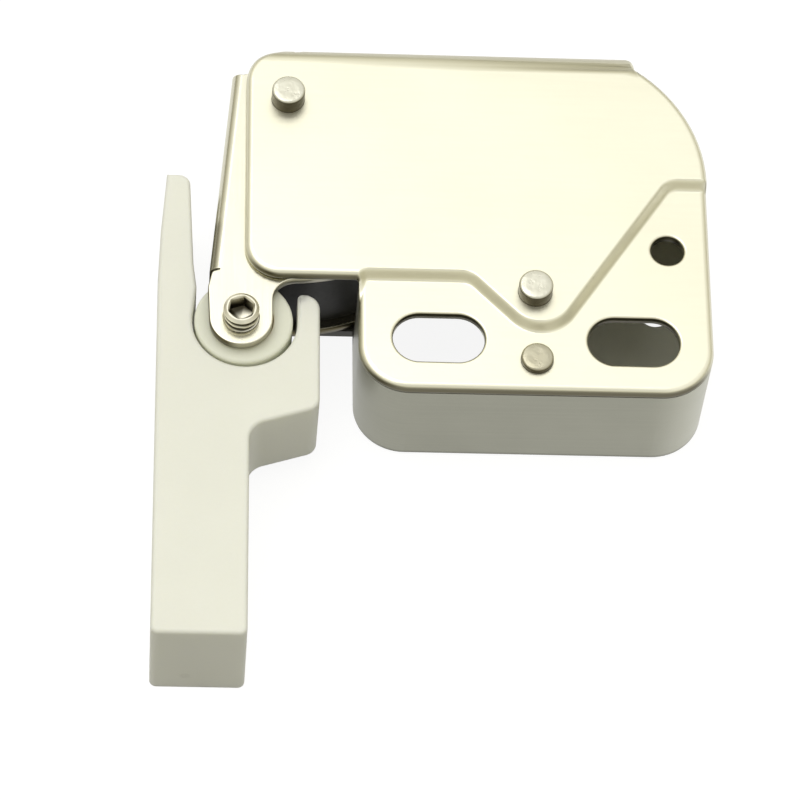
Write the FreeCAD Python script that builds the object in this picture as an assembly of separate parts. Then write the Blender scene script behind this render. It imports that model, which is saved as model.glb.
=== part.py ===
import FreeCAD, Part
import math
import os

Vec = FreeCAD.Vector

# A push-to-open touch latch for an inset door, shown closed and lying on its back.
# X runs along the two screw slots, Y up the case, and Z out of the back towards the cover.
# Outlines are drawn from the case's lower-left corner, in millimetres, and each piece is moved
# onto the centre of the slot pattern on the back face when it is written.

# Case: a drawn tray with a flat cover, riveted together
case_width = 40.0
case_height = 34.25
case_depth = 11.35
case_sheet = 0.9
notch_width = 9.73
notch_height = 10.45
notch_corner_radius = 0.25
foot_left_radius = 4.4
foot_right_radius = 4.5
shoulder_radius = 14.2
shoulder_inset = 5.9
shoulder_drop = 1.71
left_top_radius = 4.2
left_bottom_radius = 3.2
tray_edge_radius = 0.4
flange_start = 4.3
flange_end_inset = 0.2
flange_bend_radius = 2.0
back_above_notch = 1.2
flange_lap = 0.05

# Raised field of the cover, pressed up round the mechanism
field_rise = 0.9
field_slope = 0.5
field_wall = 0.55
field_above_notch = 0.65
field_corner_inset = 0.17
field_corner_radius = 0.9
field_foot_outset = 0.38
field_foot_drop = 1.45
dip_start_left = 5.515
dip_start_radius = 2.2
dip_right = 0.755
dip_y = 4.55
dip_radius = 2.87
dip_end_inset = 3.48
dip_end_y = 20.87
dip_end_radius = 1.8
field_reach = 8.0

# Screw slots, fixing hole and the window in the back
slot_left_inset = 6.81
slot_right_inset = 6.85
slot_y = 5.02
slot_length = 7.84
slot_width = 4.67
fixing_hole_inset = 3.64
fixing_hole_y = 14.23
fixing_hole_radius = 1.42
window_inset = 3.17
window_rib = 3.245
window_low = 8.6
window_high = 13.9
window_corner_radius = 1.0

# Pins and rivets
arm_pin_inset = 3.61
arm_pin_drop = 5.96
arm_pin_radius = 1.44
arm_pin_stand = 1.58
pawl_pin_left = 0.1
pawl_pin_y = 9.2
pawl_pin_radius = 1.46
pawl_pin_stand = 1.35
post_y = 3.04
post_rivet_radius = 1.38
post_rivet_stand = 0.6
post_radius = 2.05
pin_crown_radius = 0.35
pin_foot_flare = 0.55
pin_foot_height = 0.5
turning_gap = 0.05

# Swing arm: a sheet channel with two sector ears, turning on the arm pin
arm_sheet = 0.9
arm_side_gap = 0.15
arm_bend_radius = 0.95
arm_lean = 5.02
web_distance = 5.1
web_above_notch = 0.85
web_above_pin = 3.22
web_top_radius = 0.5
ear_above_notch = 0.14
far_ear_step = 0.25
ear_end_angle = -33.0
ear_hub_radius = 4.1
ear_crown = ((-2.64, 3.14), (-3.32, 3.28), (-3.75, 3.27))
boss_radius = 2.7
boss_fillet = 2.0
roller_left = 3.86
roller_below_notch = 3.73

# Roller, the bush it turns on, and the socket set screw that is their axle
roller_radius = 4.2
roller_face_gap = 0.25
roller_edge_radius = 0.35
bush_wall = 0.93
bush_throw = (0.25, 0.38)
axle_radius = 1.52
axle_stand = 1.5
axle_edge = 0.2
axle_tail = 0.4
thread_pitch = 0.5
thread_depth = 0.2
socket_across_flats = 1.95
socket_depth = 1.6

# Cam block between the ears, with the heart-shaped track
block_inset = 1.1
block_inner_radius = 6.0
block_end_angle = -30.0
block_web_gap = 0.1
block_deck_z = 8.5
block_boss_left = 0.11
block_boss_drop = 7.49
dowel_radius = 0.8
dowels_from_pin = ((-2.41, -13.69), (-2.11, -9.09))
track_half_width = 0.75
track_depth = 2.0
track_run_in = 5.0
track_run_out = 41.0
loop_inner_radius = 9.7
loop_join_angle = 17.0
loop_back_angle = 9.0
loop_catch_angle = -1.5
loop_notch_radius = 11.0
loop_notch_angle = 0.5

# Pawl with its follower pin, on the pawl pin
pawl_sheet = 1.0
pawl_deck_gap = 0.4
pawl_hub_radius = 2.6
pawl_tip_radius = 1.7
follower_from_pin = (3.39, -12.29)
follower_radius = 0.6
follower_bottom_gap = 0.3
pawl_turn_per_arm_turn = 0.125
spacer_wall = 0.6
collar_wall = 0.4
spacer_end_gap = 0.1

# Springs
main_wire = 0.9
main_mean_radius = 3.3
main_pitch = 1.4
main_turns = 4
main_start_z = 2.9
main_fixed_leg = 9.0
main_moving_leg = 7.0
pawl_wire = 0.6
pawl_pitch = 1.05
pawl_turns = 2
pawl_start_z = 5.6
pawl_fixed_leg = 7.0
pawl_moving_leg = 7.0
pawl_hook_radius = 0.8
pawl_hook_height = 0.7
seat_gap = 0.3

# Spring sleeve round the arm pin
sleeve_wall = 0.85

# Striker: a moulded keeper that is screwed to the door by its leg
striker_back_wall = 3.0
striker_leg_width = 7.97
striker_foot_y = -22.8
striker_top_gap = 0.3
striker_under_gap = 0.15
striker_leg_end_y = -2.0
finger_top_y = 21.75
finger_tip_in = 0.41
finger_tip_width = 1.99
finger_tip_radius = 1.0
finger_bow_y = 16.0
finger_bow_in = 0.17
finger_root_y = 11.0
finger_bow_radius = 25.0
finger_inner_in = 0.02
finger_inner_y = 12.8
finger_inner_radius = 1.5
lip_in = 0.32
lip_y = 10.4
lip_radius = 0.8
lip_foot_radius = 0.6
cup_left_gap = 0.17
cup_right_gap = 0.38
cup_floor_gap = 0.25
cup_lift = 0.3
hook_wall = 1.92
hook_lift = 2.77
hook_outer_radius = 1.4
hook_inner_radius = 0.45
shelf_outer_y = -1.25
shelf_inner_y = -3.1
shelf_fillet = 1.8
shelf_corner_radius = 1.2
leg_corner_radius = 0.6
moulding_edge_radius = 0.35
striker_hole_radius = 1.75
striker_sink_radius = 3.3
striker_sink_depth = 1.7
striker_hole_spacing = 10.0
striker_hole_foot = 5.4

# Places that follow from the sizes above
slot_left = (notch_width + slot_left_inset, slot_y)
slot_right = (case_width - slot_right_inset, slot_y)
slot_centre = Vec((slot_left[0] + slot_right[0]) / 2, slot_y, 0)
fixing_hole = (case_width - fixing_hole_inset, fixing_hole_y)
arm_pivot = (arm_pin_inset, case_height - arm_pin_drop)
pawl_pivot = (slot_centre.x - pawl_pin_left, pawl_pin_y)
post_place = (slot_centre.x, post_y)
roller_place = (arm_pivot[0] - roller_left, notch_height - roller_below_notch)
follower_place = (arm_pivot[0] + follower_from_pin[0], arm_pivot[1] + follower_from_pin[1])
dowel_places = [(arm_pivot[0] + x, arm_pivot[1] + y) for x, y in dowels_from_pin]
web_low_y = notch_height + web_above_notch
web_high_y = arm_pivot[1] + web_above_pin
ear_radius = arm_pivot[1] - notch_height - ear_above_notch
field_low_y = notch_height + field_above_notch
roller_centre = (roller_place[0] + bush_throw[0], roller_place[1] + bush_throw[1])
cup_left = roller_centre[0] - roller_radius - cup_left_gap
cup_right = roller_centre[0] + roller_radius + cup_right_gap
striker_back_x = cup_left - striker_back_wall

# Levels that follow from the sizes above
plate_z = case_depth - case_sheet
cover_top = case_depth + field_rise
pocket_z = cover_top - case_sheet
ear_far_z = case_sheet + arm_side_gap
ear_near_top = pocket_z - arm_side_gap
gap_low = ear_far_z + arm_sheet
gap_high = ear_near_top - arm_sheet
striker_top = gap_high - striker_top_gap
striker_under = gap_low + striker_under_gap
flange_inside_y = case_height - case_sheet
shoulder_end = (case_width - shoulder_inset, case_height - shoulder_drop)
flange_end = shoulder_end[0] - flange_end_inset
pawl_z = block_deck_z + pawl_deck_gap
bush_bore = axle_radius + turning_gap
bush_radius = bush_bore + bush_wall
through = 2.0


def polar(centre, radius, degrees):
    """The point at this radius and angle round a centre."""
    a = math.radians(degrees)
    return (centre[0] + radius * math.cos(a), centre[1] + radius * math.sin(a))


def bearing_of(centre, point):
    return math.degrees(math.atan2(point[1] - centre[1], point[0] - centre[0]))


def moved_edges(points, offset):
    """The corner points of a closed anticlockwise outline with every side moved outwards."""
    moved = []
    count = len(points)
    for i in range(count):
        x0, y0, _ = points[i - 1]
        x1, y1, r = points[i]
        x2, y2, _ = points[(i + 1) % count]
        a = Vec(x1 - x0, y1 - y0, 0).normalize()
        b = Vec(x2 - x1, y2 - y1, 0).normalize()
        cross = a.x * b.y - a.y * b.x
        share = offset / (1 + a.dot(b))
        corner = Vec(x1, y1, 0) + (Vec(a.y, -a.x, 0) + Vec(b.y, -b.x, 0)) * share
        radius = r
        if r > 0:
            radius = max(r + offset if cross > 0 else r - offset, 0.05)
        moved.append((corner.x, corner.y, radius))
    return moved


def outline(points, z=0.0, offset=0.0):
    """A closed wire through corner points (x, y, radius), each corner rounded by its radius."""
    corners = []
    pts = moved_edges(points, offset) if offset else list(points)
    for i in range(len(pts)):
        p = Vec(pts[i][0], pts[i][1], z)
        a = (Vec(pts[i - 1][0], pts[i - 1][1], z) - p).normalize()
        b = (Vec(pts[(i + 1) % len(pts)][0], pts[(i + 1) % len(pts)][1], z) - p).normalize()
        r = pts[i][2]
        if r <= 0:
            corners.append((p, None, p))
            continue
        half = a.getAngle(b) / 2
        reach = r / math.tan(half)
        middle = (a + b).normalize() * (r / math.sin(half) - r)
        corners.append((p + a * reach, p + middle, p + b * reach))
    edges = []
    for i in range(len(corners)):
        start, middle, end = corners[i]
        if middle is not None:
            edges.append(Part.Arc(start, middle, end).toShape())
        following = corners[(i + 1) % len(corners)][0]
        if end.distanceToPoint(following) > 1e-6:
            edges.append(Part.LineSegment(end, following).toShape())
    return Part.Wire(edges)


def prism(points, z0, z1, offset=0.0):
    """A rounded outline raised from z0 to z1."""
    return Part.Face(outline(points, z0, offset)).extrude(Vec(0, 0, z1 - z0))


def tapered(points, z0, offset0, z1, offset1):
    """A rounded outline that changes its offset steadily from z0 to z1."""
    return Part.makeLoft([outline(points, z0, offset0), outline(points, z1, offset1)], True, True)


def rod(place, radius, z0, z1):
    return Part.makeCylinder(radius, z1 - z0, Vec(place[0], place[1], z0))


def cone(place, radius0, radius1, z0, z1):
    return Part.makeCone(radius0, radius1, z1 - z0, Vec(place[0], place[1], z0))


def tube(place, bore, radius, z0, z1):
    return rod(place, radius, z0, z1).cut(rod(place, bore, z0, z1))


def obround(place, length, width, z0, z1):
    """A slot's hole, running along X."""
    x, y = place
    dx, dy = length / 2, width / 2
    pts = [(x - dx, y - dy, dy), (x + dx, y - dy, dy), (x + dx, y + dy, dy), (x - dx, y + dy, dy)]
    return prism(pts, z0, z1)


def box(x0, x1, y0, y1, z0, z1):
    return Part.makeBox(x1 - x0, y1 - y0, z1 - z0, Vec(x0, y0, z0))


def lane(p, q, half, z0, z1):
    """A straight stretch of track with round ends."""
    run = Vec(q[0] - p[0], q[1] - p[1], 0)
    side = Vec(-run.y, run.x, 0).normalize() * half
    a, b = Vec(p[0], p[1], z0), Vec(q[0], q[1], z0)
    face = Part.Face(Part.makePolygon([a + side, a - side, b - side, b + side, a + side]))
    return face.extrude(Vec(0, 0, z1 - z0)).fuse([rod(p, half, z0, z1), rod(q, half, z0, z1)])


def crowned(pin, place, radius, top):
    """Rounds the rim of a pin's upper end."""
    rim = [e for e in pin.Edges if rim_at(e, place, radius, top)]
    return pin.makeFillet(pin_crown_radius, rim)


def rim_at(edge, place, radius, z):
    """True for a full circle of this radius round the place, at this height."""
    if not isinstance(edge.Curve, Part.Circle):
        return False
    c = edge.Curve.Center
    near = abs(c.x - place[0]) + abs(c.y - place[1]) + abs(c.z - z) < 1e-4
    return near and abs(edge.Curve.Radius - radius) < 1e-4


def arc_from(p0, tangent, p1):
    """The arc that leaves p0 along the tangent and ends at p1."""
    chord = p1 - p0
    lean = tangent.getAngle(chord)
    apex = p0 + tangent * (chord.Length / 2 / math.cos(lean))
    middle = (p0 + p1) * 0.5
    sag = chord.Length / 2 * math.tan(lean / 2)
    return Part.Arc(p0, middle + (apex - middle).normalize() * sag, p1).toShape()


def biarc(p0, t0, p1, t1):
    """Two arcs from p0 to p1 that meet smoothly and keep both end directions."""
    v, t = p1 - p0, t0 + t1
    spread = 2 * (1 - t0.dot(t1))
    d = (-v.dot(t) + math.sqrt(v.dot(t) ** 2 + spread * v.dot(v))) / spread
    join = (p0 + t0 * d + p1 - t1 * d) * 0.5
    first = arc_from(p0, t0, join)
    second = arc_from(join, ((p1 - t1 * d) - join).normalize(), p1)
    return [first, second]


def coil_edges(place, radius, start, total, pitch, z):
    """A rising coil as quarter-turn biarcs. Angles in degrees, anticlockwise; returns edges and ends."""
    steps = math.ceil(total / 90)
    edges, ends = [], []
    for i in range(steps + 1):
        turn = total * i / steps
        x, y = polar(place, radius, start + turn)
        a = math.radians(start + turn)
        slope = pitch / (2 * math.pi * radius)
        ends.append((Vec(x, y, z + pitch * turn / 360), Vec(-math.sin(a), math.cos(a), slope).normalize()))
    for (p0, t0), (p1, t1) in zip(ends, ends[1:]):
        edges += biarc(p0, t0, p1, t1)
    return edges, ends[0], ends[-1]


def wire_tube(edges, wire_radius):
    """A round wire along joined edges."""
    spine = Part.Wire(edges)
    start = edges[0].valueAt(edges[0].FirstParameter)
    along = edges[0].tangentAt(edges[0].FirstParameter)
    section = Part.Wire([Part.makeCircle(wire_radius, start, along)])
    return spine.makePipeShell([section], True, False)


def least_gap(edges, wire_radius):
    """The least air gap between turns, from points along the wire that lie well apart on it."""
    points = [p for e in edges for p in e.discretize(12)[1:]]
    step = points[0].distanceToPoint(points[1])
    apart = math.ceil(8 * wire_radius / step)
    least = min(
        points[i].distanceToPoint(points[j])
        for i in range(len(points))
        for j in range(i + apart, len(points))
    )
    return least - 2 * wire_radius


def write(name, shape):
    """Moves a piece onto the slot pattern's centre and writes it."""
    solid = shape.removeSplitter()
    solid.translate(slot_centre * -1)
    solid.exportStep("parts/" + name + ".step")
    print(name, len(solid.Solids), round(solid.Volume, 2), solid.isValid())


def shoulder_corner():
    """Where the side's line meets the tangent at the end of the shoulder's arc."""
    x = case_width - shoulder_radius
    y = shoulder_end[1] - math.sqrt(shoulder_radius ** 2 - (shoulder_end[0] - x) ** 2)
    turn = bearing_of((x, y), shoulder_end)
    return polar((x, y), shoulder_radius / math.cos(math.radians(turn / 2)), turn / 2)


# Outlines that several pieces share
case_outline = [
    (notch_width, 0.0, foot_left_radius),
    (case_width, 0.0, foot_right_radius),
    shoulder_corner() + (shoulder_radius,),
    (shoulder_end[0], shoulder_end[1], 0.0),
    (flange_end, case_height, 0.0),
    (0.0, case_height, left_top_radius),
    (0.0, notch_height, left_bottom_radius),
    (notch_width, notch_height, notch_corner_radius),
]
field_outline = [
    (-field_reach, notch_height - field_foot_drop, 0.0),
    (notch_width - field_foot_outset, notch_height - field_foot_drop, 0.0),
    (notch_width + field_corner_inset, field_low_y, field_corner_radius),
    (slot_centre.x - dip_start_left, field_low_y, dip_start_radius),
    (slot_centre.x + dip_right, dip_y, dip_radius),
    (case_width - dip_end_inset, dip_end_y, dip_end_radius),
    (case_width + field_reach, dip_end_y, 0.0),
    (case_width + field_reach, case_height + field_reach, 0.0),
    (-field_reach, case_height + field_reach, 0.0),
]

# The web's outer face lies at web_distance from the arm pin, leaning by arm_lean
web_normal = Vec(-math.cos(math.radians(arm_lean)), math.sin(math.radians(arm_lean)), 0)
web_along = Vec(-math.sin(math.radians(arm_lean)), -math.cos(math.radians(arm_lean)), 0)
pivot = Vec(arm_pivot[0], arm_pivot[1], 0)


def web_point(y, inset=0.0):
    """The point of the web's outer face at this height, or inset from it towards the pin."""
    foot = pivot + web_normal * (web_distance - inset)
    p = foot + web_along * ((foot.y - y) / -web_along.y)
    return (p.x, p.y)


def screw_holes(z0, z1):
    """The two slots and the fixing hole, as one cutter."""
    cut = obround(slot_left, slot_length, slot_width, z0, z1)
    cut = cut.fuse(obround(slot_right, slot_length, slot_width, z0, z1))
    return cut.fuse(rod(fixing_hole, fixing_hole_radius, z0, z1))


def case_pin(place, radius, stand, level):
    """A pin riveted flush into the back, with a rounded end that stands out of the cover."""
    top = level + stand
    pin = rod(place, radius, 0, top)
    pin = pin.fuse(cone(place, radius + pin_foot_flare, radius, 0, pin_foot_height))
    return crowned(pin, place, radius, top)


def pin_foot(place, radius):
    """The flared hole in the back for a case pin."""
    hole = rod(place, radius, -through, case_sheet + through)
    return hole.fuse(cone(place, radius + pin_foot_flare, radius, 0, pin_foot_height))


def pocket():
    """The room that the raised field leaves under the cover."""
    return tapered(field_outline, plate_z, field_slope - field_wall, pocket_z, -field_wall)


def housing_tray():
    """The drawn back with its wall round the foot, the right side and the shoulder."""
    walled = [
        (notch_width, 0.0, foot_left_radius),
        (case_width, 0.0, foot_right_radius),
        shoulder_corner() + (shoulder_radius,),
        (shoulder_end[0], shoulder_end[1], 0.0),
        (shoulder_end[0] - flange_lap, flange_inside_y - flange_lap, 0.0),
        (notch_width, flange_inside_y - flange_lap, 0.0),
    ]
    block = prism(walled, 0, pocket_z)
    rim = []
    for e in block.Edges:
        low = max(v.Z for v in e.Vertexes) < 1e-6
        if low and e.CenterOfMass.y < flange_inside_y - 2 * flange_lap:
            rim.append(e)
    block = block.makeFillet(tray_edge_radius, rim)
    back_low_y = notch_height + back_above_notch
    back = [
        (0.0, flange_inside_y - flange_lap, left_top_radius - case_sheet),
        (0.0, back_low_y, left_bottom_radius),
        (notch_width + foot_left_radius, back_low_y, 0.0),
        (notch_width + foot_left_radius, flange_inside_y - flange_lap, 0.0),
    ]
    block = block.fuse(prism(back, 0, case_sheet))
    room = [
        (notch_width + case_sheet, case_sheet, foot_left_radius - case_sheet),
        (case_width - case_sheet, case_sheet, foot_right_radius - case_sheet),
        moved_edges(walled, -case_sheet)[2],
        moved_edges(walled, -case_sheet)[3][:2] + (0.0,),
        (shoulder_end[0] - case_sheet, case_height + through, 0.0),
        (-through, case_height + through, 0.0),
        (-through, notch_height, 0.0),
        (notch_width + case_sheet, notch_height, 0.0),
    ]
    tray = block.cut(prism(room, case_sheet, cover_top))
    above = box(-through, case_width + through, -through, case_height, plate_z, cover_top)
    tray = tray.cut(above.cut(pocket()))
    bend_y = case_height - flange_bend_radius
    bend_z = cover_top - flange_bend_radius
    tray = tray.cut(box(0, flange_end + flange_lap, bend_y, case_height, bend_z, cover_top))
    window_left = notch_width + window_inset
    window_right = pawl_pivot[0] - window_rib
    window = [
        (window_left, window_low, window_corner_radius),
        (window_right, window_low, window_corner_radius),
        (window_right, window_high, window_corner_radius),
        (window_left, window_high, window_corner_radius),
    ]
    tray = tray.cut(prism(window, -through, case_sheet + through))
    tray = tray.cut(screw_holes(-through, case_sheet + through))
    tray = tray.cut(pin_foot(arm_pivot, arm_pin_radius))
    tray = tray.cut(pin_foot(pawl_pivot, pawl_pin_radius))
    return tray.cut(pin_foot(post_place, post_rivet_radius))


def cover():
    """The front plate with its raised field, and a flange folded down along the top."""
    plate = prism(case_outline, plate_z, case_depth)
    raised = tapered(field_outline, case_depth, field_slope, cover_top, 0.0)
    plate = plate.fuse(raised.common(prism(case_outline, case_depth, cover_top)))
    plate = plate.cut(pocket())
    bend_y = case_height - flange_bend_radius
    z_bend = cover_top - flange_bend_radius
    rolled = Part.makeCylinder(flange_bend_radius, case_width, Vec(0, bend_y, z_bend), Vec(1, 0, 0))
    waste = box(0, case_width, bend_y, case_height + through, z_bend, cover_top + 1).cut(rolled)
    plate = plate.cut(waste)
    plate = plate.cut(box(flange_start, flange_end, bend_y, case_height + through, 0, cover_top + 1))
    x = flange_start
    inner = flange_bend_radius - case_sheet
    out_mid = polar((bend_y, z_bend), flange_bend_radius, 45)
    in_mid = polar((bend_y, z_bend), inner, 45)
    section = Part.Wire([
        Part.Arc(Vec(x, bend_y, cover_top), Vec(x, *out_mid), Vec(x, case_height, z_bend)).toShape(),
        Part.makeLine(Vec(x, case_height, z_bend), Vec(x, case_height, 0)),
        Part.makeLine(Vec(x, case_height, 0), Vec(x, flange_inside_y, 0)),
        Part.makeLine(Vec(x, flange_inside_y, 0), Vec(x, flange_inside_y, z_bend)),
        Part.Arc(Vec(x, flange_inside_y, z_bend), Vec(x, *in_mid), Vec(x, bend_y, pocket_z)).toShape(),
        Part.makeLine(Vec(x, bend_y, pocket_z), Vec(x, bend_y, cover_top)),
    ])
    plate = plate.fuse(Part.Face(section).extrude(Vec(flange_end - flange_start, 0, 0)))
    plate = plate.cut(screw_holes(0, cover_top + 1))
    plate = plate.cut(rod(arm_pivot, arm_pin_radius, plate_z, cover_top + 1))
    plate = plate.cut(rod(pawl_pivot, pawl_pin_radius, plate_z, cover_top + 1))
    return plate.cut(rod(post_place, post_rivet_radius, 0, cover_top + 1))


def ear_plan(z0, z1, radius):
    """One ear of the swing arm, seen from the cover: sector, hub, neck and roller boss."""
    end = polar((0, 0), 1.0, ear_end_angle)
    side = polar((0, 0), ear_hub_radius, ear_end_angle + 90)
    far = radius + 1
    crown = [(arm_pivot[0] + x, arm_pivot[1] + y, 0.0) for x, y in ear_crown]
    sector = crown + [
        web_point(web_high_y) + (web_top_radius,),
        web_point(arm_pivot[1] - radius) + (0.0,),
        (arm_pivot[0], arm_pivot[1] - far, 0.0),
        (arm_pivot[0] + far * end[0], arm_pivot[1] + far * end[1] - ear_hub_radius, 0.0),
        (arm_pivot[0] + side[0] + far * end[0], arm_pivot[1] + side[1] + far * end[1], 0.0),
        (arm_pivot[0] + side[0], arm_pivot[1] + side[1], 0.0),
    ]
    fan = prism(sector, z0, z1).common(rod(arm_pivot, radius, z0, z1))
    fan = fan.fuse(rod(arm_pivot, ear_hub_radius, z0, z1))
    x, y = roller_place
    low = arm_pivot[1] - radius
    neck = [
        (x - boss_radius, y, 0.0),
        (x + boss_radius, y, 0.0),
        (x + boss_radius, low + boss_radius, 0.0),
        web_point(low + boss_radius) + (0.0,),
        web_point(web_low_y) + (0.0,),
    ]
    ear = fan.fuse(prism(neck, z0, z1)).fuse(rod(roller_place, boss_radius, z0, z1))
    corner = box(x + boss_radius, x + boss_radius + boss_fillet, low - boss_fillet, low + 0.1, z0, z1)
    hollow = rod((x + boss_radius + boss_fillet, low - boss_fillet), boss_fillet, z0, z1)
    return ear.fuse(corner.cut(hollow))


def bend_waste(level, inwards):
    """What a bend leaves out of the square corner between an ear and the web."""
    r = arm_bend_radius
    start = Vec(*web_point(web_low_y), level)
    along = web_along * -1
    reach = case_height - web_low_y
    centre = start - web_normal * r + Vec(0, 0, inwards * r)
    corners = [start + web_normal, start - web_normal * r, centre, centre + web_normal * (r + 1)]
    corners[0] = corners[0] - Vec(0, 0, inwards)
    corners[1] = corners[1] - Vec(0, 0, inwards)
    bar = Part.Face(Part.makePolygon(corners + corners[:1])).extrude(along * reach)
    return bar.cut(Part.makeCylinder(r, reach, centre, along))


def swing_arm():
    """The bent channel that carries the roller: two ears joined by a web on the left."""
    far_ear = ear_plan(ear_far_z, gap_low, ear_radius - far_ear_step)
    arm = far_ear.fuse(ear_plan(gap_high, ear_near_top, ear_radius))
    web = [
        web_point(web_high_y) + (0.0,),
        web_point(web_low_y) + (0.0,),
        web_point(web_low_y, arm_sheet) + (0.0,),
        web_point(web_high_y, arm_sheet) + (0.0,),
    ]
    arm = arm.fuse(prism(web, ear_far_z, ear_near_top))
    arm = arm.cut(bend_waste(ear_far_z, 1)).cut(bend_waste(ear_near_top, -1))
    arm = arm.cut(rod(arm_pivot, arm_pin_radius + turning_gap, 0, cover_top))
    arm = arm.cut(rod(roller_place, axle_radius, 0, cover_top))
    for place in dowel_places:
        arm = arm.cut(rod(place, dowel_radius, 0, cover_top))
    return arm


def roller_axle():
    """The set screw through both ears: a socket in its upper end, and thread where it stands out."""
    top = ear_near_top + axle_stand
    axle = rod(roller_place, axle_radius, ear_far_z - axle_tail, top - axle_edge)
    axle = axle.fuse(cone(roller_place, axle_radius, axle_radius - axle_edge, top - axle_edge, top))
    core = axle_radius - thread_depth
    for i in range(2):
        z = top - axle_edge - (i + 0.5) * thread_pitch
        low, high = z - thread_depth, z + thread_depth
        kept = cone(roller_place, axle_radius, core, low, z)
        kept = kept.fuse(cone(roller_place, core, axle_radius, z, high))
        axle = axle.cut(rod(roller_place, axle_radius + 1, low, high).cut(kept))
    corners = [polar(roller_place, socket_across_flats / math.sqrt(3), 60 * i + 18) for i in range(6)]
    hexagon = prism([c + (0.0,) for c in corners], top - socket_depth, top + 1)
    return axle.cut(hexagon)


def roller_bush():
    """The eccentric bush over the set screw: turning it on the screw sets where the roller stands."""
    bush = rod(roller_centre, bush_radius, gap_low, gap_high)
    return bush.cut(rod(roller_place, bush_bore, gap_low, gap_high))


def roller():
    """The plastic roller between the ears."""
    z0, z1 = gap_low + roller_face_gap, gap_high - roller_face_gap
    body = tube(roller_centre, bush_radius + turning_gap, roller_radius, z0, z1)
    rims = [e for e in body.Edges if rim_at(e, roller_centre, roller_radius, z0)]
    rims += [e for e in body.Edges if rim_at(e, roller_centre, roller_radius, z1)]
    return body.makeFillet(roller_edge_radius, rims)


def follower_at(arm_turn):
    """Where the follower pin stands on the cam block when the arm has swung out by this angle."""
    bearing = math.degrees(math.atan2(follower_place[1] - pawl_pivot[1], follower_place[0] - pawl_pivot[0]))
    reach = math.dist(follower_place, pawl_pivot)
    x, y = polar(pawl_pivot, reach, bearing + pawl_turn_per_arm_turn * arm_turn)
    angle = math.degrees(math.atan2(y - arm_pivot[1], x - arm_pivot[0]))
    return polar(arm_pivot, math.dist((x, y), arm_pivot), angle + arm_turn)


def heart_track(z0, z1):
    """The groove in the block: the long release lane, and the loop round the heart-shaped island."""
    start, middle, end = [follower_at(a) for a in (-track_run_in, track_run_out / 2, track_run_out)]
    path = Part.Arc(Vec(*start, z0), Vec(*middle, z0), Vec(*end, z0)).toShape().Curve
    centre = (path.Center.x, path.Center.y)
    radius = path.Radius
    ring = tube(centre, radius - track_half_width, radius + track_half_width, z0, z1)
    wedge = Part.makePolygon([
        Vec(*centre, z0),
        Vec(*polar(centre, 3 * radius, bearing_of(centre, start)), z0),
        Vec(*polar(centre, 3 * radius, bearing_of(centre, middle)), z0),
        Vec(*polar(centre, 3 * radius, bearing_of(centre, end)), z0),
        Vec(*centre, z0),
    ])
    track = ring.common(Part.Face(wedge).extrude(Vec(0, 0, z1 - z0)))
    track = track.fuse([rod(start, track_half_width, z0, z1), rod(end, track_half_width, z0, z1)])
    rest = bearing_of(arm_pivot, follower_place)
    loop = [
        follower_at(loop_join_angle),
        polar(arm_pivot, loop_inner_radius, rest + loop_back_angle),
        polar(arm_pivot, loop_inner_radius, rest + loop_catch_angle),
        polar(arm_pivot, loop_notch_radius, rest + loop_notch_angle),
        follower_at(-track_run_in),
    ]
    for p, q in zip(loop, loop[1:]):
        track = track.fuse(lane(p, q, track_half_width, z0, z1))
    return track


def cam_block():
    """The moulded block between the ears, with the follower's track in its upper deck."""
    end = polar((0, 0), ear_radius, block_end_angle)
    inset = arm_sheet + block_web_gap
    plan = [
        web_point(arm_pivot[1] - block_inner_radius, inset) + (0.0,),
        web_point(web_low_y, inset) + (0.0,),
        (arm_pivot[0], arm_pivot[1] - ear_radius - 1, 0.0),
        (arm_pivot[0] + end[0], arm_pivot[1] + end[1] - ear_radius / 2, 0.0),
        (arm_pivot[0] + end[0], arm_pivot[1] + end[1], 0.0),
        (arm_pivot[0], arm_pivot[1], 0.0),
    ]
    ring = tube(arm_pivot, block_inner_radius, ear_radius - block_inset, gap_low, gap_high)
    block = prism(plan, gap_low, gap_high).common(ring)
    boss_right = arm_pivot[0] - block_boss_left
    boss_high = arm_pivot[1] - block_boss_drop
    deck = box(boss_right, case_width, 0, case_height, block_deck_z, gap_high)
    deck = deck.fuse(box(-case_width, case_width, boss_high, case_height, block_deck_z, gap_high))
    block = block.cut(deck)
    block = block.cut(heart_track(block_deck_z - track_depth, block_deck_z + 1))
    for place in dowel_places:
        block = block.cut(rod(place, dowel_radius, 0, cover_top))
    return block


def block_dowels():
    """Two flush dowels that hold the block between the ears."""
    return Part.makeCompound([rod(p, dowel_radius, ear_far_z, ear_near_top) for p in dowel_places])


def pawl():
    """The flat lever on the pawl pin, whose tip carries the follower."""
    z0, z1 = pawl_z, pawl_z + pawl_sheet
    run = Vec(follower_place[0] - pawl_pivot[0], follower_place[1] - pawl_pivot[1], 0)
    side = Vec(-run.y, run.x, 0).normalize()
    a = Vec(pawl_pivot[0], pawl_pivot[1], z0)
    b = Vec(follower_place[0], follower_place[1], z0)
    corners = [
        a + side * pawl_hub_radius,
        a - side * pawl_hub_radius,
        b - side * pawl_tip_radius,
        b + side * pawl_tip_radius,
    ]
    blade = Part.Face(Part.makePolygon(corners + corners[:1])).extrude(Vec(0, 0, z1 - z0))
    hub = rod(pawl_pivot, pawl_hub_radius, z0, z1)
    blade = blade.fuse([hub, rod(follower_place, pawl_tip_radius, z0, z1)])
    blade = blade.cut(rod(pawl_pivot, pawl_pin_radius + turning_gap, z0, z1))
    return blade.cut(rod(follower_place, follower_radius, z0, z1))


def follower_pin():
    """The pin riveted in the pawl's tip, running in the heart-shaped track."""
    foot = block_deck_z - track_depth + follower_bottom_gap
    return rod(follower_place, follower_radius, foot, pawl_z + pawl_sheet)


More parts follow.
